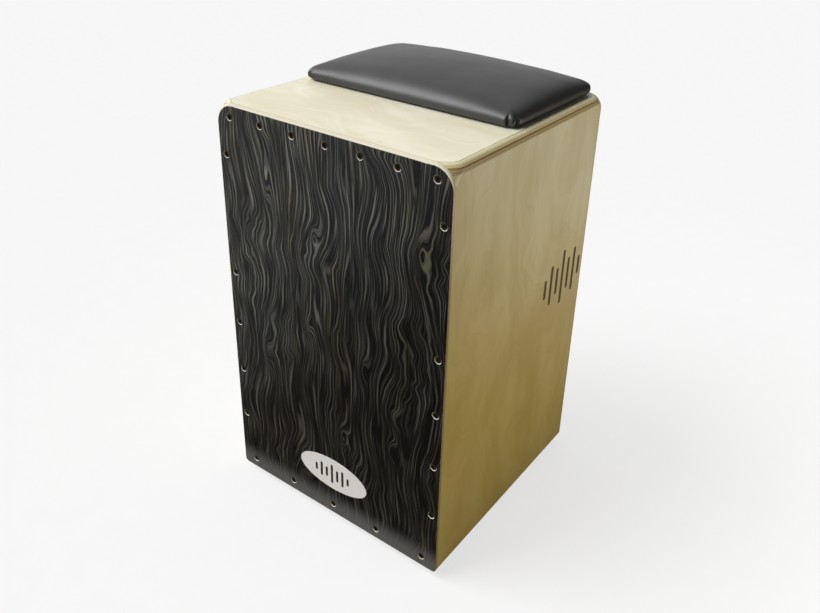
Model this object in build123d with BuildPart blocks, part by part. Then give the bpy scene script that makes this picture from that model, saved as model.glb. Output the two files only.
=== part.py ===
"""A box drum: a plywood body with a screwed front plate, snare wires inside and a loose seat pad."""

import os
from math import cos, pi, sin, sqrt

from build123d import *

os.makedirs("parts", exist_ok=True)

# Box. Depth is from the front plate's face to the back panel's face.
box_width = 300.0
box_depth = 297.0
box_height = 480.0
top_thickness = 9.0
bottom_thickness = 9.0
side_thickness = 12.0
back_thickness = 4.0
plate_thickness = 3.0

# Rounding of the front plate's edge, from its face to its back. It is taller along the top.
plate_side_rounding = 0.7
plate_top_rounding = 4.0
plate_rounding_steps = 8

# Rounding of the long top edges, which widens to larger corners at the front and the back.
edge_radius = 8.5
front_corner_radius = 22.0
back_corner_radius = 16.0
bottom_corner_radius = 5.0
flare_length = 15.0
flare_steps = 4
back_edge_radius = 2.2
sound_hole_radius = 57.5
sound_hole_height = 285.0
sound_hole_edge = 1.2

# Printed oval on the front plate.
badge_width = 101.0
badge_height = 43.5
badge_thickness = 0.5
badge_centre_height = 59.5
badge_offset = 1.4

# Feet.
foot_height = 9.0
foot_top_radius = 13.0
foot_bottom_radius = 11.0
foot_edge = 1.0
foot_inset = 32.0
foot_pocket_radius = 6.2
foot_pocket_depth = 4.6
foot_hole_radius = 2.3
foot_pilot_floor = 1.0
foot_screw_end_gap = 1.0

# Frame of battens behind the front plate.
batten = 15.0
side_batten = 12.0

# Screws that hold the front plate.
clearance = 0.05
screw_radius = 1.6
screw_length = 18.0
screw_head_radius = 3.7
screw_head_height = screw_head_radius - screw_radius
screw_tip = 3.0
screw_sink = 0.55
recess_span = 4.6
recess_width = 1.1
recess_depth = 1.5
recess_taper = 12.0
screw_turn = 37.0
top_row_drop = 15.0
top_row_pitch = 44.0
top_row_count = 7
bottom_row_rise = 13.0
bottom_row_pitch = 65.0
bottom_row_count = 5
side_screw_inset = 9.0
side_screw_top = 422.0
side_screw_first = 80.0
side_screw_pitch = 66.5
side_screw_count = 4

# Snare rail and wires.
rail_depth = 20.0
rail_height = 24.0
rail_centre_height = 330.0
rail_edge = 2.0
rail_screw_bite = 12.0
rail_screw_end_gap = 1.0
snare_screw_length = 14.0
snare_screw_inset = 8.0
snare_plate_width = 98.0
snare_plate_height = 14.0
snare_plate_thickness = 1.0
snare_plate_corner = 2.0
snare_centre = 62.0
snare_wire_radius = 1.15
snare_wire_length = 112.0
snare_wire_pitch = 9.6
snare_wire_count = 10
snare_wire_foot_drop = 1.0
snare_touch_gap = 0.3
pan_head_radius = 3.4
pan_head_height = 2.2
pan_shoulder_radius = 2.89
pan_shoulder_height = 1.54
pan_recess_span = 3.54
washer_radius = 5.5
washer_hole_radius = 2.0
washer_thickness = 0.8

# Hook-and-loop strips under the seat pad.
strip_length = 200.0
strip_width = 20.0
strip_thickness = 0.6
strip_spacing = 90.0
strip_corner = 2.0

# Seat pad.
pad_width = 279.5
pad_depth = 177.7
pad_back_gap = 1.0
pad_corner_radius = 18.0
pad_tuck = 3.0
pad_belly = 6.0
pad_rim_height = 14.0
pad_rim_inset = 45.0
pad_rim_power = 2.8
pad_crown = 11.7
pad_crown_power = 2.06
pad_steps = 9
pad_step_power = 1.8
pad_last_inset = 0.86
pad_corner_limit = 0.46
cover_thickness = 1.2
pad_board_thickness = 6.0
pad_board_corner = 34.0
hem_width = 20.0
hem_corner = 4.0
staple_to_hem_edge = 7.0
staple_width = 10.0
staple_wire = 0.7
staple_leg = 4.5
staples_along_x = 7
staples_along_y = 4
staple_pitch_x = 36.0
staple_pitch_y = 36.0

# Levels and planes worked out from the sizes above.
box_bottom = foot_height
box_top = box_bottom + box_height
front_y = badge_thickness - (box_depth + badge_thickness) / 2
back_y = front_y + box_depth
plate_back_y = front_y + plate_thickness
panel_back_y = back_y - back_thickness
panel_depth = panel_back_y - plate_back_y
half_width = box_width / 2
inner_half_width = half_width - side_thickness
top_underside = box_top - top_thickness
bottom_topside = box_bottom + bottom_thickness
foot_x = half_width - foot_inset
foot_y = box_depth / 2 - foot_inset


def rounded_outline(top_radius):
    """The box seen from the front: larger corners at the top, small ones at the bottom."""
    with BuildSketch(mode=Mode.PRIVATE) as outline:
        with Locations((0, (box_bottom + box_top) / 2)):
            Rectangle(box_width, box_height)
        fillet(outline.vertices().group_by(Axis.Y)[-1], top_radius)
        fillet(outline.vertices().group_by(Axis.Y)[0], bottom_corner_radius)
    return outline.sketch


def plate_outline(turn):
    """The front plate's outline at a turn of its rounding: 0 is the plate's face, pi / 2 its back."""
    depth = plate_thickness * (1 - cos(turn))
    left = max(0, 1 - depth / plate_side_rounding)
    side_inset = plate_side_rounding * (1 - sqrt(1 - left**2))
    top_inset = plate_top_rounding * (1 - sin(turn))
    with BuildSketch(mode=Mode.PRIVATE) as outline:
        with Locations((0, (box_bottom + box_top + side_inset - top_inset) / 2)):
            Rectangle(box_width - 2 * side_inset, box_height - side_inset - top_inset)
        fillet(outline.vertices().group_by(Axis.Y)[-1], front_corner_radius)
        fillet(outline.vertices().group_by(Axis.Y)[0], bottom_corner_radius - side_inset)
    return outline.sketch


def flare_radius(corner_radius, step):
    """Corner radius along a flare: step 0 is the box's end, the last step is its straight part."""
    left = 1 - step / flare_steps
    return edge_radius + (corner_radius - edge_radius) * left * left


def save(piece, name):
    piece.part.label = name
    export_step(piece.part, f"parts/{name}.step")


def plate_screw_places():
    """Centres of the front plate's screws, as (x, z)."""
    places = []
    for i in range(top_row_count):
        places.append(((i - (top_row_count - 1) / 2) * top_row_pitch, box_top - top_row_drop))
    for side in (-1, 1):
        x = side * (half_width - side_screw_inset)
        places.append((x, box_bottom + side_screw_top))
        for i in range(side_screw_count):
            places.append((x, box_bottom + side_screw_first + i * side_screw_pitch))
    for i in range(bottom_row_count):
        x = (i - (bottom_row_count - 1) / 2) * bottom_row_pitch
        places.append((x, box_bottom + bottom_row_rise))
    return places


plate_screws = plate_screw_places()
top_screws = [place for place in plate_screws if place[1] > top_underside - batten]
bottom_screws = [place for place in plate_screws if place[1] < bottom_topside + batten]
side_screws = [place for place in plate_screws if place not in top_screws + bottom_screws]
front_plane = Plane.XZ.offset(-front_y)
batten_plane = Plane.XZ.offset(-plate_back_y)
pilot_radius = screw_radius + clearance
pilot_depth = screw_length + screw_sink - plate_thickness + clearance


# The body's outer shape, from which the panels are cut.
with BuildPart() as envelope:
    for step in range(flare_steps + 1):
        y = plate_back_y + flare_length * step / flare_steps
        with BuildSketch(Plane.XZ.offset(-y)):
            add(rounded_outline(flare_radius(front_corner_radius, step)))
    loft()
    with BuildSketch(Plane.XZ.offset(-(plate_back_y + flare_length))):
        add(rounded_outline(edge_radius))
    extrude(amount=-(panel_depth - 2 * flare_length))
with BuildPart() as back_flare:
    for step in range(flare_steps + 1):
        y = panel_back_y - flare_length * step / flare_steps
        with BuildSketch(Plane.XZ.offset(-y)):
            add(rounded_outline(flare_radius(back_corner_radius, step)))
    loft()
body_shape = envelope.part + back_flare.part

# Panels.
with BuildPart() as top_panel:
    add(body_shape)
    with BuildSketch(Plane.XY.offset(top_underside)):
        Rectangle(2 * box_width, 2 * box_depth)
    extrude(amount=2 * top_thickness, mode=Mode.INTERSECT)
save(top_panel, "top_panel")

with BuildPart() as bottom_panel:
    with BuildSketch(Plane.XY.offset(box_bottom)):
        with Locations((0, (plate_back_y + panel_back_y) / 2)):
            Rectangle(2 * inner_half_width, panel_depth)
    extrude(amount=bottom_thickness)
    with Locations(Plane.XY.offset(box_bottom).rotated((180, 0, 0))):
        with GridLocations(2 * foot_x, 2 * foot_y, 2, 2):
            Hole(pilot_radius, depth=bottom_thickness - foot_pilot_floor)
save(bottom_panel, "bottom_panel")

for side, name in ((-1, "left_side_panel"), (1, "right_side_panel")):
    with BuildPart() as side_panel:
        add(body_shape)
        with BuildSketch(Plane.XY):
            with Locations((side * (half_width - side_thickness / 2), 0)):
                Rectangle(side_thickness, 2 * box_depth)
        extrude(amount=top_underside, mode=Mode.INTERSECT)
        with Locations(batten_plane):
            with Locations(*[place for place in side_screws if place[0] * side > 0]):
                Hole(pilot_radius, depth=pilot_depth)
    save(side_panel, name)

with BuildPart() as back_panel:
    with BuildSketch(Plane.XZ.offset(-back_y)):
        add(rounded_outline(back_corner_radius))
    extrude(amount=back_thickness)
    fillet(back_panel.faces().sort_by(Axis.Y)[-1].edges(), back_edge_radius)
    with BuildSketch(Plane.XZ.offset(-back_y)):
        with Locations((0, box_bottom + sound_hole_height)):
            Circle(sound_hole_radius)
    extrude(amount=back_thickness, mode=Mode.SUBTRACT)
    hole_edges = back_panel.edges().filter_by(GeomType.CIRCLE)
    fillet(hole_edges.filter_by(lambda e: abs(e.radius - sound_hole_radius) < clearance), sound_hole_edge)
save(back_panel, "back_panel")

with BuildPart() as front_plate:
    for step in range(plate_rounding_steps + 1):
        turn = pi / 2 * step / plate_rounding_steps
        with BuildSketch(Plane.XZ.offset(-front_y - plate_thickness * (1 - cos(turn)))):
            add(plate_outline(turn))
    loft()
    with Locations(front_plane):
        with Locations(*plate_screws):
            CounterSinkHole(
                radius=screw_radius + 2 * clearance,
                counter_sink_radius=screw_head_radius + screw_sink + 2 * clearance,
                depth=plate_thickness,
            )
save(front_plate, "front_plate")

# Battens glued inside the front opening, which take the plate's screws.
with BuildPart() as top_batten:
    with BuildSketch(batten_plane):
        with Locations((0, top_underside - batten / 2)):
            Rectangle(2 * inner_half_width, batten)
    extrude(amount=-batten)
    with Locations(batten_plane):
        with Locations(*top_screws):
            Hole(pilot_radius, depth=batten)
save(top_batten, "front_batten_top")

with BuildPart() as bottom_batten:
    with BuildSketch(batten_plane):
        with Locations((0, bottom_topside + batten / 2)):
            Rectangle(2 * inner_half_width, batten)
    extrude(amount=-batten)
    with Locations(batten_plane):
        with Locations(*bottom_screws):
            Hole(pilot_radius, depth=batten)
save(bottom_batten, "front_batten_bottom")

for side, name in ((-1, "front_batten_left"), (1, "front_batten_right")):
    with BuildPart() as side_strip:
        with BuildSketch(batten_plane):
            low = bottom_topside + batten
            high = top_underside - batten
            with Locations((side * (inner_half_width - side_batten / 2), (low + high) / 2)):
                Rectangle(side_batten, high - low)
        extrude(amount=-batten)
        with Locations(Plane.XZ.offset(-(plate_back_y + batten)).rotated((180, 0, 0))):
            with Locations((side * (inner_half_width - side_batten / 2), -(box_bottom + rail_centre_height))):
                Hole(pilot_radius, depth=rail_screw_bite + rail_screw_end_gap)
    save(side_strip, name)

# One countersunk screw along +Y, its head's face on the XZ plane.
with BuildPart() as plate_screw:
    with BuildSketch(Plane.XY):
        with BuildLine():
            Polyline(
                (0, 0),
                (screw_head_radius, 0),
                (screw_radius, screw_head_height),
                (screw_radius, screw_length - screw_tip),
                (0, screw_length),
                close=True,
            )
        make_face()
    revolve(axis=Axis.Y)
    with BuildSketch(Plane.XZ):
        Rectangle(recess_span, recess_width)
        Rectangle(recess_width, recess_span)
    extrude(amount=-recess_depth, taper=recess_taper, mode=Mode.SUBTRACT)

with BuildPart() as front_plate_screws:
    for i, (x, z) in enumerate(plate_screws):
        with Locations(Location((x, front_y + screw_sink, z), (0, i * screw_turn, 0))):
            add(plate_screw.part)
save(front_plate_screws, "front_plate_screws")


def pan_screw(length):
    """A pan-head screw along -Z, the underside of its head at the origin."""
    with BuildPart() as screw:
        with BuildSketch(Plane.XZ):
            with BuildLine():
                Line((0, pan_head_height), (pan_head_radius / 2, pan_head_height))
                ThreePointArc(
                    (pan_head_radius / 2, pan_head_height),
                    (pan_shoulder_radius, pan_shoulder_height),
                    (pan_head_radius, 0),
                )
                Polyline(
                    (pan_head_radius, 0),
                    (screw_radius, 0),
                    (screw_radius, screw_tip - length),
                    (0, -length),
                    (0, pan_head_height),
                )
            make_face()
        revolve(axis=Axis.Z)
        with BuildSketch(Plane.XY.offset(pan_head_height)):
            Rectangle(pan_recess_span, recess_width)
            Rectangle(recess_width, pan_recess_span)
        extrude(amount=-recess_depth, taper=recess_taper, mode=Mode.SUBTRACT)
    return screw.part


# Badge.
with BuildPart() as badge:
    with BuildSketch(front_plane):
        with Locations((badge_offset, box_bottom + badge_centre_height)):
            Ellipse(badge_width / 2, badge_height / 2)
    extrude(amount=badge_thickness)
save(badge, "front_badge")

# Snare rail, screwed to the backs of the side battens, and the two snare sets on its front.
rail_front_y = plate_back_y + batten
rail_back_y = rail_front_y + rail_depth
rail_z = box_bottom + rail_centre_height
rail_front_plane = Plane.XZ.offset(-rail_front_y)
rail_back_plane = Plane.XZ.offset(-rail_back_y).rotated((180, 0, 0))
rail_end_x = inner_half_width - side_batten / 2
plate_hole_x = snare_plate_width / 2 - snare_screw_inset
snare_screw_places = [(s * snare_centre + t * plate_hole_x, rail_z) for s in (-1, 1) for t in (-1, 1)]

with BuildPart() as snare_rail:
    with BuildSketch(rail_front_plane):
        with Locations((0, rail_z)):
            Rectangle(2 * inner_half_width, rail_height)
    extrude(amount=-rail_depth)
    fillet(snare_rail.edges().filter_by(Axis.X), rail_edge)
    with Locations(rail_front_plane):
        with Locations((-rail_end_x, rail_z), (rail_end_x, rail_z)):
            Hole(screw_radius + 2 * clearance, depth=rail_depth)
        with Locations(*snare_screw_places):
            Hole(pilot_radius, depth=snare_screw_length)
save(snare_rail, "snare_rail")

rail_screw = pan_screw(rail_depth + rail_screw_bite)
with BuildPart() as snare_rail_screws:
    with Locations(rail_back_plane):
        with Locations((-rail_end_x, -rail_z), (rail_end_x, -rail_z)):
            add(rail_screw)
save(snare_rail_screws, "snare_rail_screws")

snare_screw = pan_screw(snare_screw_length - snare_plate_thickness)
with BuildPart() as snare_plate_screws:
    with Locations(Plane.XZ.offset(snare_plate_thickness - rail_front_y)):
        with Locations(*snare_screw_places):
            add(snare_screw)
save(snare_plate_screws, "snare_plate_screws")

wire_foot_z = rail_z + snare_plate_height / 2 - snare_wire_foot_drop
wire_foot_y = rail_front_y - snare_plate_thickness - snare_wire_radius - clearance
wire_top_y = plate_back_y + snare_wire_radius + snare_touch_gap
wire_rise = sqrt(snare_wire_length**2 - (wire_foot_y - wire_top_y) ** 2)
for side, name in ((-1, "left"), (1, "right")):
    with BuildPart() as snare_plate:
        with BuildSketch(rail_front_plane):
            with Locations((side * snare_centre, rail_z)):
                RectangleRounded(snare_plate_width, snare_plate_height, snare_plate_corner)
                with GridLocations(2 * plate_hole_x, 1, 2, 1):
                    Circle(screw_radius + 2 * clearance, mode=Mode.SUBTRACT)
        extrude(amount=snare_plate_thickness)
    save(snare_plate, f"snare_plate_{name}")
    with BuildPart() as snare_wires:
        foot = (side * snare_centre, wire_foot_y, wire_foot_z)
        up = Vector(0, wire_top_y - wire_foot_y, wire_rise)
        with BuildSketch(Plane(origin=foot, x_dir=(1, 0, 0), z_dir=up)):
            with GridLocations(snare_wire_pitch, 1, snare_wire_count, 1):
                Circle(snare_wire_radius)
        extrude(amount=snare_wire_length)
    save(snare_wires, f"snare_wires_{name}")

# Feet with their washers and screws.
with BuildPart() as foot_shape:
    with BuildSketch(Plane.XZ):
        with BuildLine():
            Polyline(
                (foot_hole_radius, foot_height),
                (foot_top_radius, foot_height),
                (foot_bottom_radius, 0),
                (foot_pocket_radius, 0),
                (foot_pocket_radius, foot_pocket_depth),
                (foot_hole_radius, foot_pocket_depth),
                close=True,
            )
        make_face()
    revolve(axis=Axis.Z)
    fillet(foot_shape.edges().group_by(Axis.Z)[0].sort_by(SortBy.RADIUS)[-1], foot_edge)

foot_places = {
    "foot_front_left": (-foot_x, -foot_y, 0),
    "foot_front_right": (foot_x, -foot_y, 0),
    "foot_back_left": (-foot_x, foot_y, 0),
    "foot_back_right": (foot_x, foot_y, 0),
}
for name, place in foot_places.items():
    with BuildPart() as foot:
        with Locations(place):
            add(foot_shape.part)
    save(foot, name)

with BuildPart() as foot_washers:
    with BuildSketch(Plane.XY.offset(foot_pocket_depth - washer_thickness)):
        with GridLocations(2 * foot_x, 2 * foot_y, 2, 2):
            Circle(washer_radius)
            Circle(washer_hole_radius, mode=Mode.SUBTRACT)
    extrude(amount=washer_thickness)
save(foot_washers, "foot_washers")

foot_screw_bite = bottom_thickness - foot_pilot_floor - foot_screw_end_gap
foot_screw = pan_screw(foot_height - foot_pocket_depth + washer_thickness + foot_screw_bite)
with BuildPart() as foot_screws:
    with Locations(Plane.XY.offset(foot_pocket_depth - washer_thickness).rotated((180, 0, 0))):
        with GridLocations(2 * foot_x, 2 * foot_y, 2, 2):
            add(foot_screw)
save(foot_screws, "foot_screws")

# Seat pad: a board and foam inside a stretched cover, held down by hook-and-loop strips.
pad_back_y = back_y - pad_back_gap
pad_centre_y = pad_back_y - pad_depth / 2
pad_bottom = box_top + 2 * strip_thickness
hook_z = box_top
loop_z = box_top + strip_thickness

with BuildPart() as hook_strips:
    with BuildSketch(Plane.XY.offset(hook_z)):
        with Locations((0, pad_centre_y)):
            with GridLocations(1, strip_spacing, 1, 2):
                RectangleRounded(strip_length, strip_width, strip_corner)
    extrude(amount=strip_thickness)
save(hook_strips, "seat_hook_strips")

with BuildPart() as loop_strips:
    with BuildSketch(Plane.XY.offset(loop_z)):
        with Locations((0, pad_centre_y)):
            with GridLocations(1, strip_spacing, 1, 2):
                RectangleRounded(strip_length, strip_width, strip_corner)
    extrude(amount=strip_thickness + cover_thickness)
save(loop_strips, "pad_loop_strips")


def pad_levels():
    """(share of the way in to the centre, height above the pad's widest line) from rim to crown."""
    half_depth = pad_depth / 2
    levels = []
    for step in range(pad_steps + 1):
        share = pad_last_inset * (step / pad_steps) ** pad_step_power
        rim_share = min(1, share * half_depth / pad_rim_inset)
        rim = pad_rim_height * (1 - (1 - rim_share) ** pad_rim_power) ** (1 / pad_rim_power)
        crown = pad_crown * (1 - (1 - share) ** pad_crown_power)
        levels.append((share, rim + crown))
    return levels


def pad_shape(skin):
    """The pad's closed outer form, made smaller all over by skin."""
    half_depth = pad_depth / 2 - skin
    half_span = pad_width / 2 - skin
    belly_z = box_top + pad_belly
    sections = [(pad_tuck / half_depth, pad_bottom + skin)]
    for share, rise in pad_levels():
        sections.append((share, belly_z + rise * (1 - skin / (pad_crown + pad_rim_height))))
    with BuildPart() as shape:
        for share, z in sections:
            wide = 2 * half_span * (1 - share)
            deep = 2 * half_depth * (1 - share)
            corner = min(pad_corner_radius - skin + share * half_depth / 2, pad_corner_limit * deep)
            with BuildSketch(Plane.XY.offset(z)):
                with Locations((0, pad_centre_y)):
                    RectangleRounded(wide, deep, corner)
        loft(ruled=True)
    return shape.part


pad_outer = pad_shape(0)
pad_inner = pad_shape(cover_thickness)
board_bottom = pad_bottom + cover_thickness

with BuildPart() as staple:
    with BuildSketch(Plane.XY):
        Rectangle(staple_width, staple_wire)
    extrude(amount=-staple_wire)
    with BuildSketch(Plane.XY):
        with GridLocations(staple_width - staple_wire, 1, 2, 1):
            Rectangle(staple_wire, staple_wire)
    extrude(amount=staple_leg)

hem_inset = pad_tuck + hem_width
staple_inset = hem_inset - staple_to_hem_edge
staple_x = pad_width / 2 - staple_inset
staple_y = pad_depth / 2 - staple_inset
with BuildPart() as pad_staples:
    with Locations(Location((0, pad_centre_y, pad_bottom))):
        with GridLocations(staple_pitch_x, 2 * staple_y, staples_along_x, 2):
            add(staple.part)
        with GridLocations(2 * staple_x, staple_pitch_y, 2, staples_along_y):
            add(staple.part.rotate(Axis.Z, 90))
save(pad_staples, "pad_staples")

with BuildPart() as pad_board:
    add(pad_inner)
    with BuildSketch(Plane.XY.offset(board_bottom)):
        with Locations((0, pad_centre_y)):
            RectangleRounded(pad_width, pad_depth, pad_board_corner)
    extrude(amount=pad_board_thickness, mode=Mode.INTERSECT)
board_blank = pad_board.part
with pad_board:
    add(pad_staples.part, mode=Mode.SUBTRACT)
save(pad_board, "pad_board")

with BuildPart() as pad_foam:
    add(pad_inner)
    add(board_blank, mode=Mode.SUBTRACT)
save(pad_foam, "pad_foam")

with BuildPart() as pad_cover:
    add(pad_outer)
    add(pad_inner, mode=Mode.SUBTRACT)
    with BuildSketch(Plane.XY.offset(pad_bottom)):
        with Locations((0, pad_centre_y)):
            RectangleRounded(pad_width - 2 * hem_inset, pad_depth - 2 * hem_inset, hem_corner)
    extrude(amount=cover_thickness, mode=Mode.SUBTRACT)
    add(pad_staples.part, mode=Mode.SUBTRACT)
save(pad_cover, "pad_cover")
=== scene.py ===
"""Looks for a cajon: plywood box, veneered front plate, screws, snare coils and a leatherette seat pad."""

import math

import bpy
import numpy as np
from mathutils import Euler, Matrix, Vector


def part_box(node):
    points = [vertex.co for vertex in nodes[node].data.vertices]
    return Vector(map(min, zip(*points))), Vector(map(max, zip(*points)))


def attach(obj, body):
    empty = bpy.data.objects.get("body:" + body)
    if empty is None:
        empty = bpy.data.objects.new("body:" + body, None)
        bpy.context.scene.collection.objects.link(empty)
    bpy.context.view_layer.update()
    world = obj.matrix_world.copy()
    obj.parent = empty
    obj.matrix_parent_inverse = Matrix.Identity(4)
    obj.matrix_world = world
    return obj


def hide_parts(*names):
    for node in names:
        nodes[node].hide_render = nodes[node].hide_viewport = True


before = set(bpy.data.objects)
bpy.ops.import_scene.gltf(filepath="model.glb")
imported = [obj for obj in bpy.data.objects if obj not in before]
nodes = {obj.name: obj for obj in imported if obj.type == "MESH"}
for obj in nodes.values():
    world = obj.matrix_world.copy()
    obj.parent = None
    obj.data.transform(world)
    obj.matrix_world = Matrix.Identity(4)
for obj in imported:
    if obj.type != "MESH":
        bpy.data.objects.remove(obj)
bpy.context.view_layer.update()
MM = 0.001

# Places that the looks need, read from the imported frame.
FRONT_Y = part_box("front_plate")[0].y
BACK_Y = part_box("back_panel")[1].y
BOX_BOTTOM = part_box("front_plate")[0].z
BOX_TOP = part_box("top_panel")[1].z
HALF_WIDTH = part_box("right_side_panel")[1].x
badge_low, badge_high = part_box("front_badge")
cover_low, cover_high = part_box("pad_cover")


# ---------------------------------------------------------------- node graphs
class Graph:
    """A material's node tree. Each call adds a node and returns its output socket."""

    def __init__(self, name):
        self.material = bpy.data.materials.new(name)
        self.material.use_nodes = True
        self.tree = self.material.node_tree
        self.tree.nodes.clear()
        self.place = self.node("ShaderNodeTexCoord").outputs["Object"]
        parts = self.node("ShaderNodeSeparateXYZ")
        self.feed(parts.inputs[0], self.place)
        self.x, self.y, self.z = parts.outputs

    def node(self, kind, **settings):
        made = self.tree.nodes.new(kind)
        for key, value in settings.items():
            setattr(made, key, value)
        return made

    def feed(self, socket, value):
        """Links a socket to another, or sets it to a number, a vector or a colour."""
        if isinstance(value, bpy.types.NodeSocket):
            self.tree.links.new(value, socket)
        elif socket.type == "RGBA" and len(value) == 3:
            socket.default_value = (*value, 1.0)
        else:
            socket.default_value = value

    def math(self, operation, a, b=0.0, clamp=False):
        made = self.node("ShaderNodeMath", operation=operation, use_clamp=clamp)
        self.feed(made.inputs[0], a)
        self.feed(made.inputs[1], b)
        return made.outputs[0]

    def add(self, *values):
        total = values[0]
        for value in values[1:]:
            total = self.math("ADD", total, value)
        return total

    def times(self, *values):
        product = values[0]
        for value in values[1:]:
            product = self.math("MULTIPLY", product, value)
        return product

    def minus(self, a, b):
        return self.math("SUBTRACT", a, b)

    def gap(self, a, b):
        """How far apart two values are."""
        return self.math("ABSOLUTE", self.minus(a, b))

    def hypot(self, a, b):
        return self.math("SQRT", self.add(self.times(a, a), self.times(b, b)))

    def step(self, value, low, high):
        """0 below low, 1 above high, smooth between."""
        made = self.node("ShaderNodeMapRange", interpolation_type="SMOOTHSTEP", clamp=True)
        self.feed(made.inputs["Value"], value)
        self.feed(made.inputs["From Min"], low)
        self.feed(made.inputs["From Max"], high)
        return made.outputs["Result"]

    def fall(self, value, low, high):
        """1 below low, 0 above high, smooth between."""
        return self.minus(1.0, self.step(value, low, high))

    def ridge(self, value, level, width):
        """Thin lines where value crosses level."""
        return self.fall(self.gap(value, level), width * 0.25, width)

    def vector(self, x, y, z):
        made = self.node("ShaderNodeCombineXYZ")
        for socket, value in zip(made.inputs, (x, y, z)):
            self.feed(socket, value)
        return made.outputs[0]

    def scaled(self, vector, factors):
        made = self.node("ShaderNodeVectorMath", operation="MULTIPLY")
        self.feed(made.inputs[0], vector)
        self.feed(made.inputs[1], factors)
        return made.outputs[0]

    def noise(self, vector, scale=1.0, detail=2.0, roughness=0.5):
        made = self.node("ShaderNodeTexNoise")
        self.feed(made.inputs["Vector"], vector)
        self.feed(made.inputs["Scale"], scale)
        self.feed(made.inputs["Detail"], detail)
        self.feed(made.inputs["Roughness"], roughness)
        return made.outputs["Fac"]

    def cells(self, vector, scale, feature="F1"):
        made = self.node("ShaderNodeTexVoronoi", feature=feature)
        self.feed(made.inputs["Vector"], vector)
        self.feed(made.inputs["Scale"], scale)
        return made.outputs["Distance"]

    def mix(self, share, a, b, blend="MIX"):
        made = self.node("ShaderNodeMix", data_type="RGBA", blend_type=blend)
        self.feed(made.inputs[0], share)
        self.feed(made.inputs[6], a)
        self.feed(made.inputs[7], b)
        return made.outputs[2]

    def ramp(self, value, stops):
        """A colour for a length, from stops of (length in mm, colour)."""
        made = self.node("ShaderNodeValToRGB")
        span = stops[-1][0] * MM
        self.feed(made.inputs[0], self.math("DIVIDE", value, span))
        elements = made.color_ramp.elements
        while len(elements) < len(stops):
            elements.new(1.0)
        for element, (place, colour) in zip(elements, stops):
            element.position = place * MM / span
            element.color = (*colour, 1.0)
        return made.outputs[0]

    def bump(self, height, distance, strength=1.0):
        made = self.node("ShaderNodeBump")
        self.feed(made.inputs["Height"], height)
        self.feed(made.inputs["Distance"], distance)
        self.feed(made.inputs["Strength"], strength)
        return made.outputs["Normal"]

    def surface(self, colour, roughness, normal=None, **plain):
        """The Principled surface. plain holds constants set on its own sockets."""
        shader = self.node("ShaderNodeBsdfPrincipled")
        self.feed(shader.inputs["Base Color"], colour)
        self.feed(shader.inputs["Roughness"], roughness)
        if normal is not None:
            self.feed(shader.inputs["Normal"], normal)
        for key, value in plain.items():
            self.feed(shader.inputs[key.replace("_", " ")], value)
        out = self.node("ShaderNodeOutputMaterial")
        self.feed(out.inputs["Surface"], shader.outputs[0])
        return self.material


def srgb(red, green, blue):
    """A colour given as 0 to 255 display values, as the linear values that nodes take."""
    values = [v / 255 for v in (red, green, blue)]
    return tuple(v / 12.92 if v <= 0.04045 else ((v + 0.055) / 1.055) ** 2.4 for v in values)


def dress(material, *names):
    """Puts a material on CAD nodes."""
    for name in names:
        mesh = nodes[name].data
        mesh.materials.clear()
        mesh.materials.append(material)


# ---------------------------------------------------------------- birch plywood
# The darker and the lighter tone of each face.
TOP_TONES = srgb(233, 225, 192), srgb(249, 245, 222)
# Lit and shaded copies of the side wood: painted shade makes the low tones darker and more golden, most of
# all on the right panel.
SIDE_LIT_HIGH_TONES = srgb(226, 217, 180), srgb(245, 240, 213)
LEFT_SHADED_LOW_TONES = srgb(216, 201, 158), srgb(231, 218, 180)
RIGHT_SHADED_LOW_TONES = srgb(205, 180, 101), srgb(221, 199, 122)
BACK_TONES = srgb(204, 192, 156), srgb(226, 217, 188)
BOTTOM_TONES = srgb(190, 174, 132), srgb(214, 202, 168)
PAD_BOARD_TONES = srgb(172, 148, 100), srgb(200, 178, 132)
BATTEN_TONES = srgb(150, 116, 70), srgb(222, 194, 148)

# Painted shade on a side panel: its shaded low tone gives way to its lit high tone between these heights, and
# sooner towards the back, so the panel is darker low down and towards the front.
SIDE_PAINTED_SHADE_FADE = BOX_BOTTOM + 110 * MM, BOX_TOP + 40 * MM
SIDE_PAINTED_SHADE_BACKWARD = 0.55

# The dark line along a side panel's foot.
SIDE_FOOT = BOX_BOTTOM + 0.8 * MM, BOX_BOTTOM + 2.4 * MM
SIDE_FOOT_DARK_TONE = srgb(96, 76, 40)

# A small knot in the top panel, wider along the grain than across it.
KNOT_X, KNOT_Y = 60 * MM, -138 * MM
KNOT_SQUEEZE = 1.6
KNOT_TONE = srgb(172, 158, 118)

# Heights of the bars in the generic mark, which is on the badge and on the right side panel.
BAR_HEIGHTS = (0.3, 0.7, 0.45, 1.0, 0.55, 0.8, 0.3)
PRINT_Y, PRINT_Z = 95 * MM, 279 * MM
PRINT_PITCH, PRINT_BAR_HALF, PRINT_TALLEST = 14 * MM, 2.9 * MM, 33 * MM
PRINT_INK = srgb(52, 40, 26)

# Plies seen on an edge, as (depth below the face in mm, colour).
PLY_EDGE = (
    (0.0, srgb(212, 201, 157)),
    (0.10, srgb(162, 149, 107)),
    (0.25, srgb(249, 242, 202)),
    (1.0, srgb(249, 242, 200)),
    (1.8, srgb(238, 224, 175)),
    (2.2, srgb(216, 201, 150)),
    (2.8, srgb(240, 227, 179)),
    (3.4, srgb(225, 210, 159)),
    (4.0, srgb(162, 140, 91)),
    (4.4, srgb(143, 120, 70)),
    (4.8, srgb(171, 149, 101)),
    (5.8, srgb(210, 193, 144)),
    (6.4, srgb(201, 184, 134)),
    (7.0, srgb(162, 143, 95)),
    (7.3, srgb(164, 145, 97)),
    (7.8, srgb(201, 184, 134)),
    (8.4, srgb(218, 203, 154)),
    (8.8, srgb(168, 150, 103)),
    (12.0, srgb(212, 197, 148)),
)
PLY_EDGE_SHADE = srgb(214, 200, 166)


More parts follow.
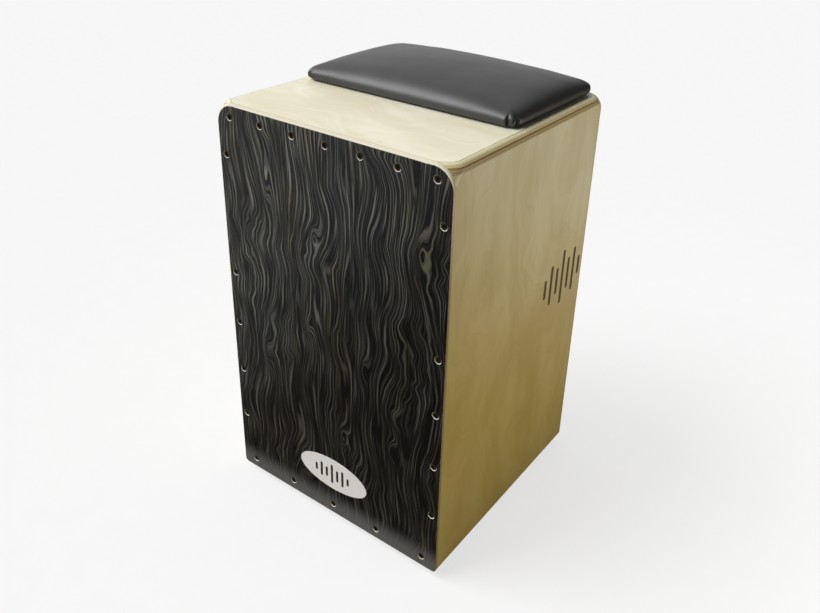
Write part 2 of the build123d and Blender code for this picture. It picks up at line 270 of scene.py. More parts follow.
def birch_figure(g, along, across, deep):
    """Tone of a birch face from 0, dark, to 1, light, and its fibres: clouds, growth contours, flecks."""

    def stretched(along_scale, across_scale):
        return g.vector(g.times(along, along_scale), g.times(across, across_scale), deep)

    cloud = g.noise(stretched(6.0, 17.0), detail=3.0, roughness=0.55)
    drift = g.noise(stretched(5.0, 7.0))
    contour = g.add(g.times(across, 40.0), g.times(drift, 16.0))
    rings = g.noise(g.vector(contour, g.times(along, 1.5), 0.0), roughness=0.6)
    lines = g.ridge(rings, 0.5, 0.035)
    fibre = g.noise(stretched(45.0, 1400.0))
    fleck = g.noise(stretched(130.0, 800.0), detail=1.0)
    streak = g.noise(stretched(7.0, 330.0), roughness=0.6)
    tone = g.step(g.add(g.times(cloud, 0.64), g.times(rings, 0.20), g.times(fibre, 0.16)), 0.36, 0.64)
    marks = g.add(
        g.times(g.step(fleck, 0.68, 0.80), 0.28),
        g.times(lines, 0.20),
        g.times(g.step(streak, 0.60, 0.74), 0.34),
    )
    return g.math("SUBTRACT", tone, marks, clamp=True), fibre


def edge_plies(g, depth):
    """Ply edges at a depth below the face, with a little waviness and grain along the edge."""
    wobble = g.times(g.minus(g.noise(g.place, scale=45.0), 0.5), 0.5 * MM)
    plies = g.ramp(g.add(depth, wobble), PLY_EDGE)
    grain = g.noise(g.scaled(g.place, (160.0, 160.0, 1800.0)))
    return g.mix(g.times(grain, 0.5), plies, g.mix(1.0, plies, PLY_EDGE_SHADE, "MULTIPLY"))


def top_wood():
    """Top panel: a cream face with grain along X, a knot, and plies that show round its edges."""
    g = Graph("birch_top")
    tone, fibre = birch_figure(g, g.x, g.y, 0.0)
    face = g.mix(tone, *TOP_TONES)
    from_knot = g.hypot(g.minus(g.x, KNOT_X), g.times(g.minus(g.y, KNOT_Y), KNOT_SQUEEZE))
    knot = g.fall(from_knot, 0.4 * MM, 2.6 * MM)
    face = g.mix(g.times(knot, 0.55), face, KNOT_TONE)
    depth = g.minus(BOX_TOP, g.z)
    colour = g.mix(g.step(depth, 0.02 * MM, 0.06 * MM), face, edge_plies(g, depth))
    return g.surface(colour, 0.42, g.bump(fibre, 0.05 * MM), Coat_Weight=0.25, Coat_Roughness=0.3)


def side_wood():
    """Side panels: upright grain, painted shade that makes them darker and more golden towards the floor and
    the front, plies in the round ends, a mark on the right.
    """
    g = Graph("birch_side")
    tone, fibre = birch_figure(g, g.z, g.y, g.math("SIGN", g.x))
    # Painted shade: the shaded low tones, darker on the right panel, give way to the lit high tone higher up
    # and further back.
    low = g.mix(g.step(g.x, -MM, MM), g.mix(tone, *LEFT_SHADED_LOW_TONES), g.mix(tone, *RIGHT_SHADED_LOW_TONES))
    painted_shade_height = g.add(g.z, g.times(g.y, SIDE_PAINTED_SHADE_BACKWARD))
    face = g.mix(g.step(painted_shade_height, *SIDE_PAINTED_SHADE_FADE), low, g.mix(tone, *SIDE_LIT_HIGH_TONES))
    along, up = g.minus(g.y, PRINT_Y), g.minus(g.z, PRINT_Z)
    bars = sound_bars(g, along, up, PRINT_PITCH, PRINT_BAR_HALF, PRINT_TALLEST)
    on_right = g.step(g.x, HALF_WIDTH - MM, HALF_WIDTH - 0.5 * MM)
    face = g.mix(g.times(bars, on_right, 0.93), face, PRINT_INK)
    depth = g.minus(HALF_WIDTH, g.math("ABSOLUTE", g.x))
    colour = g.mix(g.step(depth, 0.05 * MM, 0.12 * MM), face, edge_plies(g, depth))
    colour = g.mix(g.times(g.fall(g.z, *SIDE_FOOT), 0.45), colour, SIDE_FOOT_DARK_TONE)
    return g.surface(colour, 0.45, g.bump(fibre, 0.05 * MM), Coat_Weight=0.2, Coat_Roughness=0.35)


def back_wood():
    """Back panel: upright grain on the face, plies in the rim and round the sound hole."""
    g = Graph("birch_back")
    tone, fibre = birch_figure(g, g.z, g.x, 5.0)
    depth = g.minus(BACK_Y, g.y)
    colour = g.mix(g.step(depth, 0.06 * MM, 0.14 * MM), g.mix(tone, *BACK_TONES), edge_plies(g, depth))
    return g.surface(colour, 0.45, g.bump(fibre, 0.05 * MM), Coat_Weight=0.2, Coat_Roughness=0.35)


def plain_ply(name, tones):
    """Unlacquered birch with its grain along X, for the bottom panel and the pad's board."""
    g = Graph(name)
    tone, fibre = birch_figure(g, g.x, g.y, 3.0)
    return g.surface(g.mix(tone, *tones), 0.55, g.bump(fibre, 0.06 * MM))


def batten_wood():
    """Sawn softwood: growth rings drawn out along X, and cloudy tones."""
    g = Graph("batten_wood")
    rings = g.noise(g.scaled(g.place, (12.0, 420.0, 420.0)))
    cloud = g.noise(g.scaled(g.place, (30.0, 30.0, 30.0)), detail=3.0)
    tone = g.add(g.times(rings, 0.7), g.times(cloud, 0.3))
    return g.surface(g.mix(tone, *BATTEN_TONES), 0.7, g.bump(rings, 0.1 * MM))


# ---------------------------------------------------------------- veneered front plate
# Ground tones, the darker and the lighter, as a shaded low copy and a lit high copy: painted light that makes
# the plate darker low down and paler high up.
VENEER_SHADED_LOW = srgb(2, 2, 3), srgb(15, 17, 20)
VENEER_LIT_HIGH = srgb(12, 13, 15), srgb(63, 67, 73)
VENEER_BAND = srgb(84, 83, 76)
# A pale painted reflection of the floor on the plate's foot.
VENEER_PAINTED_REFLECTION = srgb(124, 125, 126)
LINE_TONES = srgb(149, 150, 144), srgb(144, 139, 113)

# Painted light: the ground goes from its shaded low tone to its lit high tone between these heights, and
# sooner towards the left, so the plate is darker low down and to the right.
VENEER_PAINTED_LIGHT_FADE = 150 * MM, 520 * MM
VENEER_PAINTED_LIGHT_SIDEWAYS = 1.05
# Heights over which the painted reflection of the floor fades out.
PAINTED_REFLECTION_FADE = BOX_BOTTOM + 6 * MM, BOX_BOTTOM + 36 * MM

# Eyes in the grain: middle across and up, half width and half height, in mm, and how far they push the lines.
EYES = (
    (-84, 418, 5, 30),
    (-18, 372, 5, 13),
    (118, 396, 5, 20),
    (-30, 262, 6, 12),
    (48, 236, 5, 14),
    (-96, 196, 5, 16),
    (86, 148, 6, 15),
    (18, 128, 4, 12),
)
EYE_SHIFT = 9 * MM

# Plies of the front plate under its veneer, as (depth below the veneer in mm, colour).
PLATE_EDGE = (
    (0.0, srgb(240, 236, 220)),
    (0.95, srgb(238, 233, 216)),
    (1.05, srgb(176, 168, 150)),
    (1.2, srgb(232, 226, 206)),
    (2.0, srgb(230, 222, 200)),
    (2.1, srgb(168, 158, 136)),
    (2.25, srgb(226, 216, 190)),
    (2.85, srgb(216, 204, 172)),
    (3.0, srgb(120, 104, 70)),
)
PLATE_EDGE_DARK_TONE = srgb(150, 128, 76)
PLATE_EDGE_DARK_FADE = BOX_TOP - 150 * MM, BOX_TOP - 20 * MM


def thread(g, field, pitch, seed, half_width):
    """Lines at a pitch across the field, half_width in pitches, each fading in and out along its length."""
    count = g.math("DIVIDE", field, pitch)
    index = g.math("ROUND", count)
    line = g.fall(g.gap(count, index), 0.25 * half_width, half_width)
    life = g.noise(g.vector(g.times(index, 7.13), g.times(g.z, 16.0), seed), detail=1.0)
    return g.times(line, g.step(life, 0.38, 0.72))


def eye(g, x, z, half_width, half_height):
    """A soft spot, given in mm, that growth lines swerve round and close up on."""
    across = g.math("DIVIDE", g.minus(g.x, x * MM), half_width * MM)
    up = g.math("DIVIDE", g.minus(g.z, z * MM), half_height * MM)
    apart = g.add(g.times(across, across), g.times(up, up))
    return g.math("EXPONENT", g.times(apart, -1.0))


def warped_field(g):
    """Distance across the plate, pushed about so that lines at equal steps of it sway, kink and close."""
    flat = g.vector(g.x, g.z, 0.0)
    sway = g.noise(g.scaled(flat, (8.0, 5.5, 1.0)), detail=0.0)
    wave = g.noise(g.scaled(flat, (20.0, 14.0, 1.0)), detail=0.0)
    kink = g.noise(g.scaled(flat, (44.0, 40.0, 1.0)), detail=1.0)
    kinked = g.step(g.noise(g.scaled(flat, (13.0, 11.0, 3.0)), detail=0.0), 0.45, 0.68)
    field = g.add(g.x, g.times(sway, 34 * MM), g.times(wave, 19 * MM), g.times(kink, kinked, 16 * MM))
    for place_and_size in EYES:
        field = g.add(field, g.times(eye(g, *place_and_size), EYE_SHIFT))
    return field


def veneer_lines(g):
    """Growth lines of the veneer, the share of a paler band between them, and the field that both follow."""
    field = warped_field(g)
    bunch = g.noise(g.vector(g.times(field, 70.0), g.times(g.z, 7.0), 2.0), detail=0.0)
    field = g.add(field, g.times(bunch, 12 * MM))
    main = thread(g, field, 6.3 * MM, 0.0, 0.17)
    second = thread(g, g.add(field, g.times(bunch, 9 * MM)), 4.1 * MM, 20.0, 0.21)
    fine = thread(g, field, 2.2 * MM, 40.0, 0.32)
    lines = g.math("MAXIMUM", main, g.times(second, 0.75))
    lines = g.math("MAXIMUM", lines, g.times(fine, 0.42))
    band = g.noise(g.vector(g.times(field, 85.0), g.times(g.z, 3.0), 9.0), detail=1.0)
    return lines, g.step(band, 0.50, 0.72), field


def veneer_face(g):
    """Black veneer with wavy taupe growth lines, painted light that makes the ground and its lines paler at
    the top left, and its relief.
    """
    lines, pale, field = veneer_lines(g)
    fibre = g.noise(g.vector(g.times(field, 1300.0), g.times(g.z, 130.0), 1.0))
    speck = g.noise(g.vector(g.times(g.x, 1100.0), g.times(g.z, 700.0), 4.0), detail=1.0)
    grain = g.add(g.times(fibre, 0.6), g.times(speck, 0.4))
    # Painted light: height blends from the shaded low ground to the lit high ground, and also scales the pale
    # band and the weight of the growth lines.
    height = g.step(g.minus(g.z, g.times(g.x, VENEER_PAINTED_LIGHT_SIDEWAYS)), *VENEER_PAINTED_LIGHT_FADE)
    ground = g.mix(height, g.mix(grain, *VENEER_SHADED_LOW), g.mix(grain, *VENEER_LIT_HIGH))
    ground = g.mix(g.times(pale, height, 0.20), ground, VENEER_BAND)
    warm = g.step(g.noise(g.vector(g.times(field, 30.0), g.times(g.z, 6.0), 7.0)), 0.45, 0.7)
    weight = g.times(lines, g.add(0.31, g.times(height, 0.69)))
    share = g.times(weight, g.add(0.7, g.times(fibre, 0.5)))
    colour = g.mix(share, ground, g.mix(warm, *LINE_TONES))
    # Painted reflection of the floor, palest along the plate's foot.
    colour = g.mix(g.times(g.fall(g.z, *PAINTED_REFLECTION_FADE), 0.6), colour, VENEER_PAINTED_REFLECTION)
    return colour, g.add(g.times(lines, -0.3), grain)


def plate_core(g, depth):
    """The plate's pale plies, darker and more golden on its upright sides below the top corners."""
    core = g.ramp(depth, PLATE_EDGE)
    down = g.fall(g.z, *PLATE_EDGE_DARK_FADE)
    outside = g.step(g.math("ABSOLUTE", g.x), HALF_WIDTH - 2 * MM, HALF_WIDTH - MM)
    return g.mix(g.times(down, outside, 0.8), core, PLATE_EDGE_DARK_TONE)


def veneer_wood():
    """Front plate: veneer on the face, the ply core in its rounded edge and in the screws' countersinks."""
    g = Graph("veneered_front")
    colour, relief = veneer_face(g)
    depth = g.minus(g.y, FRONT_Y)
    colour = g.mix(g.step(depth, 0.10 * MM, 0.16 * MM), colour, plate_core(g, depth))
    return g.surface(colour, 0.42, g.bump(relief, 0.03 * MM), Specular_IOR_Level=0.09)


# ---------------------------------------------------------------- metal, rubber, cloth, print
ZINC_TONES = srgb(52, 52, 53), srgb(88, 88, 88)
ZINC_WORN = srgb(170, 170, 168)
SNARE_STEEL = srgb(190, 190, 194)
STAPLE_STEEL = srgb(180, 180, 180)
STEEL_LIGHT = srgb(226, 226, 228)
RUBBER_TONES = srgb(26, 26, 27), srgb(58, 57, 55)
HOOK_TONES = srgb(40, 40, 41), srgb(12, 12, 13)
LEATHER_TONES = srgb(24, 24, 25), srgb(33, 33, 33)
BADGE_PAPER = srgb(246, 246, 247), srgb(254, 254, 254)
BADGE_INK = srgb(30, 29, 34)
BADGE_PITCH, BADGE_BAR_HALF, BADGE_TALLEST = 8 * MM, 1.7 * MM, 12 * MM


def zinc():
    """Dark zinc: mottled grey metal, brighter where the plating is worn."""
    g = Graph("zinc_steel")
    mottle = g.noise(g.place, scale=900.0, detail=3.0)
    worn = g.step(g.noise(g.place, scale=1700.0), 0.55, 0.72)
    colour = g.mix(g.times(worn, 0.4), g.mix(mottle, *ZINC_TONES), ZINC_WORN)
    rough = g.add(0.25, g.times(mottle, 0.2))
    return g.surface(colour, rough, g.bump(mottle, 0.02 * MM), Metallic=1.0)


def bright_steel(name, tint):
    """Plated steel with faint brushing along X."""
    g = Graph(name)
    brushed = g.noise(g.scaled(g.place, (300.0, 3000.0, 3000.0)))
    rough = g.add(0.15, g.times(brushed, 0.2))
    return g.surface(g.mix(brushed, tint, STEEL_LIGHT), rough, Metallic=1.0)


def rubber():
    """Black rubber with a fine tooth and patches of dust."""
    g = Graph("foot_rubber")
    speck = g.noise(g.place, scale=2200.0)
    dust = g.step(g.noise(g.place, scale=130.0, detail=3.0), 0.5, 0.8)
    return g.surface(g.mix(dust, *RUBBER_TONES), 0.78, g.bump(speck, 0.08 * MM))


def hook_and_loop():
    """Black hook-and-loop tape: small tufts with a fuzzy sheen."""
    g = Graph("hook_and_loop")
    tufts = g.cells(g.place, 900.0)
    fuzz = g.noise(g.place, scale=4000.0)
    relief = g.bump(g.add(tufts, fuzz), 0.4 * MM)
    return g.surface(g.mix(tufts, *HOOK_TONES), 0.95, relief, Sheen_Weight=0.4)


def leatherette():
    """Black leatherette: fine pebble grain and faint creases over a soft gloss."""
    g = Graph("pad_leatherette")
    pebble = g.cells(g.place, 1500.0, "SMOOTH_F1")
    crease = g.noise(g.place, scale=420.0, detail=3.0, roughness=0.6)
    tone = g.noise(g.place, scale=30.0, detail=3.0)
    rough = g.add(0.42, g.times(tone, 0.08), g.times(crease, 0.05))
    relief = g.bump(g.add(g.times(pebble, -0.7), g.times(crease, 0.5)), 0.08 * MM, 0.6)
    return g.surface(g.mix(tone, *LEATHER_TONES), rough, relief, Specular_IOR_Level=0.85)


def sound_bars(g, across, up, pitch, half_width, tallest):
    """A generic mark: upright rounded bars, like a sound level. 1 on the bars, 0 off them."""
    mark = None
    for i, share in enumerate(BAR_HEIGHTS):
        centre = (i - (len(BAR_HEIGHTS) - 1) / 2) * pitch
        beyond = g.math("MAXIMUM", g.minus(g.math("ABSOLUTE", up), tallest * share), 0.0)
        distance = g.hypot(g.minus(across, centre), beyond)
        bar = g.fall(distance, half_width - 0.1 * MM, half_width + 0.1 * MM)
        mark = bar if mark is None else g.math("MAXIMUM", mark, bar)
    return mark


def badge_print():
    """White oval with the small generic mark."""
    g = Graph("badge_print")
    up = g.minus(g.z, (badge_low.z + badge_high.z) / 2)
    mark = sound_bars(g, g.x, up, BADGE_PITCH, BADGE_BAR_HALF, BADGE_TALLEST)
    paper = g.mix(g.noise(g.place, scale=700.0), *BADGE_PAPER)
    return g.surface(g.mix(mark, paper, BADGE_INK), 0.3, Coat_Weight=0.3, Coat_Roughness=0.15)


# ---------------------------------------------------------------- seat pad
PAD_CENTRE = (cover_low + cover_high) / 2
PAD_HALF = np.array([cover_high.x - cover_low.x, cover_high.y - cover_low.y]) / 2
PAD_CORNER = 15 * MM

# Height of the widest line above the box, how far the lower edge tucks in, and how far the hem reaches in.
PAD_BELLY = 6 * MM
PAD_TUCK = 5 * MM
PAD_HEM = 23 * MM

# The top is a shoulder that ends at an inset, plus a crown, less a drop near the corners.
PAD_SHOULDER, SHOULDER_INSET, SHOULDER_POWER = 12.8 * MM, 36 * MM, 2.6
PAD_CROWN, CROWN_POWER = 12.8 * MM, 2.06
CORNER_DROP, CORNER_REACH = 0.11, 34 * MM

# Points on an eighth of a ring, how they crowd to the corners, and how the top's rings crowd to the rim.
PAD_POINTS = 14
CORNER_CROWDING = 1.8
PAD_TOP_RINGS = 22
RIM_CROWDING = 2.1
TOP_RINGS_REACH = 0.975

CLOTH_FRAMES = 12
CLOTH_PRESSURE = 1.5
CLOTH_CAP = 0.5 * MM

# Grooves and tongues round a corner: angle from the front or back face, width in degrees, depth.
FOLDS = ((4, 9, 1.2 * MM), (22, 6.0, -4.6 * MM), (42, 8, 0.8 * MM), (60, 6.0, -3.8 * MM))
FOLD_TOP = 16 * MM

WAVE_COUNT = 14
WAVE_SLOPE = 0.0008
WAVE_LIMIT = 0.2 * MM


def pad_outline(inset, corner):
    """Points round a rounded rectangle made smaller by inset, closer together at the corners."""
    a, b = PAD_HALF - inset
    corner = min(corner, 0.98 * min(a, b))
    points = []
    for side in range(4):
        length, depth = (b, a) if side % 2 == 0 else (a, b)
        straight = length - corner
        total = straight + corner * math.pi / 4
        for k in range(2 * PAD_POINTS):
            t = k / PAD_POINTS - 1
            reach = total * (1 - (1 - abs(t)) ** CORNER_CROWDING)
            turn = max(0, reach - straight) / corner
            along = min(reach, straight) + corner * math.sin(turn)
            out = depth - corner * (1 - math.cos(turn))
            along = math.copysign(along, t)
            points.append(((out, along), (-along, out), (-out, -along), (along, -out))[side])
    return np.array(points)


def outline_inset(points):
    """How far points lie inside the pad's outline."""
    q = np.abs(points) - (PAD_HALF - PAD_CORNER)
    outside = np.hypot(np.maximum(q[:, 0], 0), np.maximum(q[:, 1], 0))
    return PAD_CORNER - outside - np.minimum(q.max(1), 0)


def pad_height(points):
    """Height of the pad's top above the box: a shoulder all round, a crown, and lower corners."""
    share = np.clip(outline_inset(points) / SHOULDER_INSET, 0, 1)
    shoulder = (1 - (1 - share) ** SHOULDER_POWER) ** (1 / SHOULDER_POWER)
    from_corner = np.linalg.norm(PAD_HALF - np.abs(points), axis=1)
    low = 1 - CORNER_DROP * np.exp(-((from_corner / CORNER_REACH) ** 2))
    u, v = (np.abs(points) / PAD_HALF).T
    return PAD_BELLY + PAD_SHOULDER * low * shoulder + PAD_CROWN * (1 - u**CROWN_POWER) * (1 - v**CROWN_POWER)


def pad_rings():
    """Rings of points, from the hidden inner edge of the hem, out under the board, up and in over the top."""
    bottom = cover_low.z - BOX_TOP
    rings = []

    def ring(flat, z):
        rings.append(np.column_stack([flat, np.broadcast_to(z, len(flat))]))

    ring(pad_outline(PAD_HEM, 4 * MM), bottom + 1.1 * MM)
    ring(pad_outline(PAD_HEM, 4 * MM), bottom + 0.3 * MM)
    ring(pad_outline(PAD_HEM - 0.5 * MM, 4 * MM), bottom)
    ring(pad_outline(PAD_HEM - 4 * MM, 6 * MM), bottom)
    ring(pad_outline(PAD_TUCK + 4 * MM, 11 * MM), bottom)
    for turn in np.linspace(0, math.pi / 2, 8):
        inset = PAD_TUCK * (1 - math.sin(turn))
        rise = (PAD_BELLY - bottom) * (1 - math.cos(turn))
        ring(pad_outline(inset, PAD_CORNER - inset), bottom + rise)
    widest = pad_outline(0, PAD_CORNER)
    for k in range(1, PAD_TOP_RINGS + 1):
        flat = widest * (1 - TOP_RINGS_REACH * (k / PAD_TOP_RINGS) ** RIM_CROWDING)
        ring(flat, pad_height(flat))
    return rings


def ring_faces(ring_count, count):
    """Quads between rings of count points each."""
    faces = []
    for level in range(ring_count - 1):
        low, high = level * count, (level + 1) * count
        for k in range(count):
            j = (k + 1) % count
            faces.append((low + k, low + j, high + j, high + k))
    return faces


def new_mesh(name, verts, faces, material):
    """A smooth-shaded mesh object in the scene."""
    mesh = bpy.data.meshes.new(name)
    mesh.from_pydata([tuple(v) for v in verts], [], faces)
    mesh.validate()
    mesh.update()
    made = bpy.data.objects.new(name, mesh)
    bpy.context.scene.collection.objects.link(made)
    mesh.materials.append(material)
    mesh.polygons.foreach_set("use_smooth", [True] * len(mesh.polygons))
    return made


def coordinates(piece):
    found = np.zeros(len(piece.data.vertices) * 3)
    piece.data.vertices.foreach_get("co", found)
    return found.reshape(-1, 3)


def move_to(piece, places):
    piece.data.vertices.foreach_set("co", np.asarray(places).ravel())
    piece.data.update()


def apply_modifiers(piece):
    graph = bpy.context.evaluated_depsgraph_get()
    mesh = bpy.data.meshes.new_from_object(piece.evaluated_get(graph))
    piece.modifiers.clear()
    piece.data = mesh


def hold(cover, places):
    """A vertex group that holds the underside, the foot of the sides and the middle of the top."""
    held = cover.vertex_groups.new(name="held")
    rise = (places[:, 2] - cover_low.z) / (PAD_BELLY + BOX_TOP - cover_low.z)
    from_middle = np.linalg.norm((places[:, :2] - np.array(PAD_CENTRE.xy)) / PAD_HALF, axis=1)
    shares = np.maximum(np.clip(1.4 - rise, 0, 1), np.clip(1.6 - 2 * from_middle, 0, 1))
    for i, share in enumerate(shares):
        held.add([i], float(share), "REPLACE")
    return held.name


def stretch_cover(cover):
    """A short cloth run that tightens the cover over the foam's pressure, with a cap on each point's move."""
    before = coordinates(cover)
    cloth = cover.modifiers.new("cloth", "CLOTH")
    settings = cloth.settings
    settings.quality = 6
    settings.mass = 0.4
    settings.tension_stiffness = 40
    settings.compression_stiffness = 40
    settings.bending_stiffness = 2
    settings.use_pressure = True
    settings.uniform_pressure_force = CLOTH_PRESSURE
    settings.vertex_group_mass = hold(cover, before)
    settings.effector_weights.gravity = 0
    cloth.point_cache.frame_start = 1
    cloth.point_cache.frame_end = CLOTH_FRAMES
    for frame_number in range(1, CLOTH_FRAMES + 1):
        bpy.context.scene.frame_set(frame_number)
    apply_modifiers(cover)
    moved = coordinates(cover) - before
    length = np.linalg.norm(moved, axis=1, keepdims=True)
    move_to(cover, before + moved * np.minimum(1, CLOTH_CAP / np.maximum(length, 1e-9)))
    bpy.context.scene.frame_set(1)


def corner_folds(cover):
    """Folded corners: two upright grooves with a tongue between them, which fade out up the shoulder."""
    places = coordinates(cover)
    flat = places[:, :2] - np.array(PAD_CENTRE.xy)
    from_corner = np.abs(flat) - (PAD_HALF - PAD_CORNER)
    near = (from_corner > -12 * MM).all(1)
    turn = np.degrees(np.arctan2(from_corner[:, 0], from_corner[:, 1]))
    level = places[:, 2] - BOX_TOP
    rise = np.clip((FOLD_TOP - level) / (FOLD_TOP - PAD_BELLY), 0, 1)
    fade = rise * rise * (3 - 2 * rise) * np.clip((level - cover_low.z + BOX_TOP) / (2 * MM), 0, 1)
    out = flat / np.linalg.norm(flat, axis=1, keepdims=True)
    reach = np.hypot(*np.maximum(from_corner, 0).T)
    side_on = np.clip(reach / (8 * MM), 0, 1)
    push = np.zeros(len(places))
    for centre, width, depth in FOLDS:
        push += depth * np.exp(-(((turn - centre) / width) ** 2))
    push *= fade * near * side_on
    places[:, 0] += out[:, 0] * push
    places[:, 1] += out[:, 1] * push
    move_to(cover, places)


def soft_waves(cover):
    """Slow undulations of the stretched cover, a few tenths of a millimetre high."""
    places = coordinates(cover)
    chance = np.random.default_rng(7)
    shift = np.zeros(len(places))
    for _ in range(WAVE_COUNT):
        pitch = chance.uniform(28, 90) * MM
        heading = chance.uniform(0, 2 * math.pi)
        along = places[:, 0] * math.cos(heading) + places[:, 1] * math.sin(heading) + 0.7 * places[:, 2]
        shift += np.sin(2 * math.pi * along / pitch + chance.uniform(0, 6)) * pitch
    shift *= WAVE_SLOPE
    lift = np.clip((places[:, 2] - BOX_TOP - PAD_BELLY) / (8 * MM), 0, 1)
    places[:, 2] -= np.maximum(shift + WAVE_LIMIT, 0) * lift
    move_to(cover, places)


def cover_mesh(material):
    """The closed cover before any cloth run: rings joined by quads, with a cap at each end."""
    rings = pad_rings()
    ring_size = len(rings[0])
    verts = np.concatenate(rings) + np.array([PAD_CENTRE.x, PAD_CENTRE.y, BOX_TOP])
    faces = ring_faces(len(rings), ring_size)
    faces.append(tuple(range(len(verts) - ring_size, len(verts))))
    faces.append(tuple(reversed(range(ring_size))))
    return new_mesh("seat_pad_cover", verts, faces, material)


def seat_pad(material):
    """The cover over its foam, tightened, folded at the corners and ridden on the pad's body."""
    cover = cover_mesh(material)
    stretch_cover(cover)
    divide = cover.modifiers.new("divide", "SUBSURF")
    divide.levels = divide.render_levels = 2
    apply_modifiers(cover)
    corner_folds(cover)
    soft_waves(cover)
    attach(cover, "seat_pad")
    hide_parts("pad_cover", "pad_foam")


# ---------------------------------------------------------------- snare coils
COIL_COUNT = 10
COIL_RADIUS = 1.15 * MM
COIL_PITCH = 1.5 * MM
WIRE_RADIUS = 0.28 * MM
STEPS_PER_TURN = 9
WIRE_SIDES = 5


def coil(start, end, verts, faces):
    """Adds a helical wire from start to end to the lists."""
    axis = end - start
    along = axis.normalized()
    side = along.cross(Vector((0, 1, 0))).normalized()
    up = side.cross(along)
    steps = int(axis.length / COIL_PITCH * STEPS_PER_TURN)
    begin = len(verts)
    for i in range(steps + 1):
        angle = 2 * math.pi * i / STEPS_PER_TURN
        out = side * math.cos(angle) + up * math.sin(angle)
        centre = start + axis * (i / steps) + out * (COIL_RADIUS - WIRE_RADIUS)
        for k in range(WIRE_SIDES):
            turn = 2 * math.pi * k / WIRE_SIDES
            verts.append(centre + (out * math.cos(turn) + along * math.sin(turn)) * WIRE_RADIUS)
    for i in range(steps):
        a, b = begin + i * WIRE_SIDES, begin + (i + 1) * WIRE_SIDES
        for k in range(WIRE_SIDES):
            j = (k + 1) % WIRE_SIDES
            faces.append((a + k, a + j, b + j, b + k))
    faces.append(tuple(begin + k for k in reversed(range(WIRE_SIDES))))
    faces.append(tuple(begin + steps * WIRE_SIDES + k for k in range(WIRE_SIDES)))


def snare_coils(side, material):
    """Coiled wires in the place of one set's plain rods."""
    node = f"snare_wires_{side}"
    low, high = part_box(node)
    verts, faces = [], []
    for i in range(COIL_COUNT):
        x = low.x + COIL_RADIUS + (high.x - low.x - 2 * COIL_RADIUS) * i / (COIL_COUNT - 1)
        foot = Vector((x, high.y - COIL_RADIUS, low.z + 0.2 * MM))
        tip = Vector((x, low.y + COIL_RADIUS, high.z - 0.2 * MM))
        coil(foot, tip, verts, faces)
    made = new_mesh(f"snare_coils_{side}", verts, faces, material)
    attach(made, "box")
    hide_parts(node)


# ---------------------------------------------------------------- stage
# The room: brightness of its walls and ceiling, how dim its right side is, and where it dims.
WALL_LIGHT = 1.35
CEILING_LIGHT = 0.86
WALL_TO_CEILING = 0.0, 0.9
DIM_SIDE = 0.06
BRIGHT_TO_DIM = -0.38, 0.05
BACKDROP = 0.922

KEY_LIGHT = 2.62
KEY_FROM = (-0.52, -0.42, 0.74)
KEY_SOFTNESS = math.radians(42)

WINDOW_LIGHT = 2.1
WINDOW_COLOUR = (1.0, 0.97, 0.88)
WINDOW_SIZE = 0.6, 0.16
WINDOW_PLACE = (0.85, 0.22, 0.40)
WINDOW_TARGET = (0.15, 0.1, 0.40)

FLOOR_HALF = 14.0
FLOOR_PALE = 0.25
FLOOR_GLOW = 0.686
FLOOR_BOUNCE = (0.25, 0.195, 0.115)

CAMERA_PLACE = (0.50164, -0.68926, 0.73927)
CAMERA_TURN = [math.radians(a) for a in (64.280, -2.038, 35.382)]
SENSOR_WIDTH = 36.0
FOCAL_LENGTH = 35.62
LENS_SHIFT = -0.0299, -0.0917


def floor():
    """A pale floor, lit for the camera and warm for the light it throws back up."""
    g = Graph("floor_sweep")
    grain = g.noise(g.place, scale=30.0)
    pale = g.node("ShaderNodeBsdfDiffuse")
    g.feed(pale.inputs["Color"], g.mix(grain, (FLOOR_PALE - 0.01,) * 3, (FLOOR_PALE + 0.01,) * 3))
    glow = g.node("ShaderNodeEmission")
    g.feed(glow.inputs["Strength"], FLOOR_GLOW)
    seen = g.node("ShaderNodeAddShader")
    g.feed(seen.inputs[0], pale.outputs[0])
    g.feed(seen.inputs[1], glow.outputs[0])
    bounce = g.node("ShaderNodeBsdfDiffuse")
    g.feed(bounce.inputs["Color"], FLOOR_BOUNCE)
    by_ray = g.node("ShaderNodeMixShader")
    g.feed(by_ray.inputs[0], g.node("ShaderNodeLightPath").outputs["Is Camera Ray"])
    g.feed(by_ray.inputs[1], bounce.outputs[0])
    g.feed(by_ray.inputs[2], seen.outputs[0])
    g.feed(g.node("ShaderNodeOutputMaterial").inputs["Surface"], by_ray.outputs[0])
    h = FLOOR_HALF
    corners = [(-h, -h, 0), (h, -h, 0), (h, h, 0), (-h, h, 0)]
    new_mesh("studio_floor", corners, [(0, 1, 2, 3)], g.material)


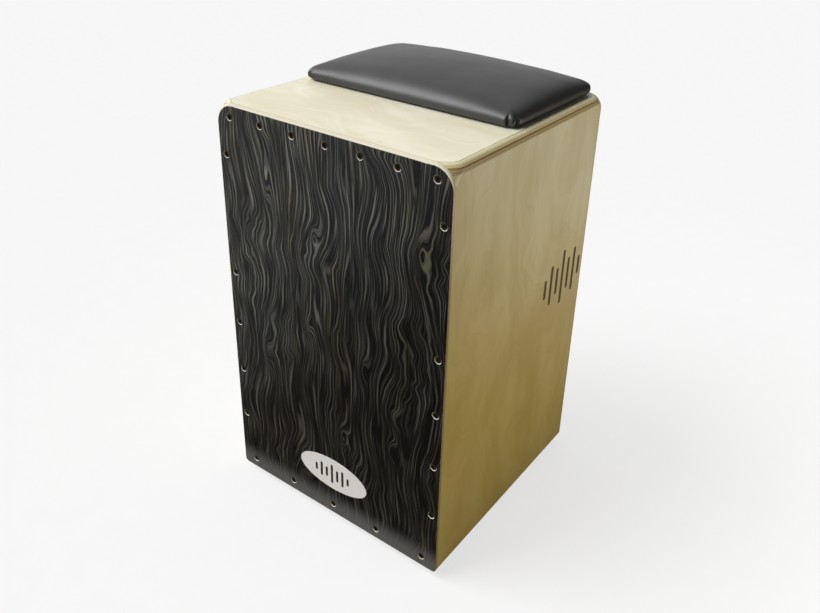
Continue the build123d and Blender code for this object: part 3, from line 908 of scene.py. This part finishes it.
def room():
    """The world: a pale room, bright on the left and dim on the right, behind a plain backdrop."""
    world = bpy.data.worlds.new("studio")
    bpy.context.scene.world = world
    world.use_nodes = True
    tree = world.node_tree
    tree.nodes.clear()
    node = tree.nodes.new
    link = tree.links.new

    def fade(value, limits, low, high):
        made = node("ShaderNodeMapRange")
        made.interpolation_type = "SMOOTHSTEP"
        link(value, made.inputs["Value"])
        for name, setting in zip(("From Min", "From Max", "To Min", "To Max"), (*limits, low, high)):
            made.inputs[name].default_value = setting
        return made.outputs[0]

    heading = node("ShaderNodeSeparateXYZ")
    link(node("ShaderNodeTexCoord").outputs["Generated"], heading.inputs[0])
    strength = node("ShaderNodeMath")
    strength.operation = "MULTIPLY"
    link(fade(heading.outputs[2], WALL_TO_CEILING, WALL_LIGHT, CEILING_LIGHT), strength.inputs[0])
    link(fade(heading.outputs[0], BRIGHT_TO_DIM, 1.0, DIM_SIDE), strength.inputs[1])
    seen = node("ShaderNodeBackground")
    seen.inputs["Color"].default_value = (BACKDROP, BACKDROP, BACKDROP, 1)
    glow = node("ShaderNodeBackground")
    link(strength.outputs[0], glow.inputs["Strength"])
    by_ray = node("ShaderNodeMixShader")
    link(node("ShaderNodeLightPath").outputs["Is Camera Ray"], by_ray.inputs[0])
    link(glow.outputs[0], by_ray.inputs[1])
    link(seen.outputs[0], by_ray.inputs[2])
    link(by_ray.outputs[0], node("ShaderNodeOutputWorld").inputs["Surface"])


def place_light(light, place, target):
    """Stands a light at place, aimed at target and hidden from the camera."""
    made = bpy.data.objects.new(light.name, light)
    made.visible_camera = False
    made.location = place
    made.rotation_euler = (Vector(place) - Vector(target)).to_track_quat("Z", "Y").to_euler()
    bpy.context.scene.collection.objects.link(made)


def lights():
    """A soft key from the front left, and a window off to the right."""
    sun = bpy.data.lights.new("key", "SUN")
    sun.energy = KEY_LIGHT
    sun.angle = KEY_SOFTNESS
    place_light(sun, KEY_FROM, (0, 0, 0))
    window = bpy.data.lights.new("window", "AREA")
    window.shape = "RECTANGLE"
    window.size, window.size_y = WINDOW_SIZE
    window.energy = WINDOW_LIGHT
    window.color = WINDOW_COLOUR
    place_light(window, WINDOW_PLACE, WINDOW_TARGET)


def camera():
    """The photograph's viewpoint: above the front right corner, with a small lens shift."""
    lens = bpy.data.cameras.new("camera")
    lens.sensor_width = SENSOR_WIDTH
    lens.lens = FOCAL_LENGTH
    lens.shift_x, lens.shift_y = LENS_SHIFT
    lens.clip_start = 0.01
    made = bpy.data.objects.new("camera", lens)
    made.location = CAMERA_PLACE
    made.rotation_euler = Euler(CAMERA_TURN, "XYZ")
    bpy.context.scene.collection.objects.link(made)
    bpy.context.scene.camera = made


# ---------------------------------------------------------------- the scene
bpy.context.scene.view_settings.view_transform = "Standard"
camera()
room()
lights()
floor()

BATTENS = [f"front_batten_{side}" for side in ("top", "bottom", "left", "right")]
FEET = [f"foot_{end}_{side}" for end in ("front", "back") for side in ("left", "right")]

dress(top_wood(), "top_panel")
dress(side_wood(), "left_side_panel", "right_side_panel")
dress(veneer_wood(), "front_plate")
dress(back_wood(), "back_panel")
dress(plain_ply("birch_bottom", BOTTOM_TONES), "bottom_panel")
dress(plain_ply("pad_board_ply", PAD_BOARD_TONES), "pad_board")
dress(batten_wood(), *BATTENS, "snare_rail")
dress(zinc(), "front_plate_screws", "snare_rail_screws", "snare_plate_screws", "foot_screws", "foot_washers")
steel = bright_steel("snare_steel", SNARE_STEEL)
dress(steel, "snare_plate_left", "snare_plate_right")
dress(bright_steel("staple_steel", STAPLE_STEEL), "pad_staples")
dress(rubber(), *FEET)
dress(hook_and_loop(), "seat_hook_strips", "pad_loop_strips")
dress(badge_print(), "front_badge")
seat_pad(leatherette())
snare_coils("left", steel)
snare_coils("right", steel)
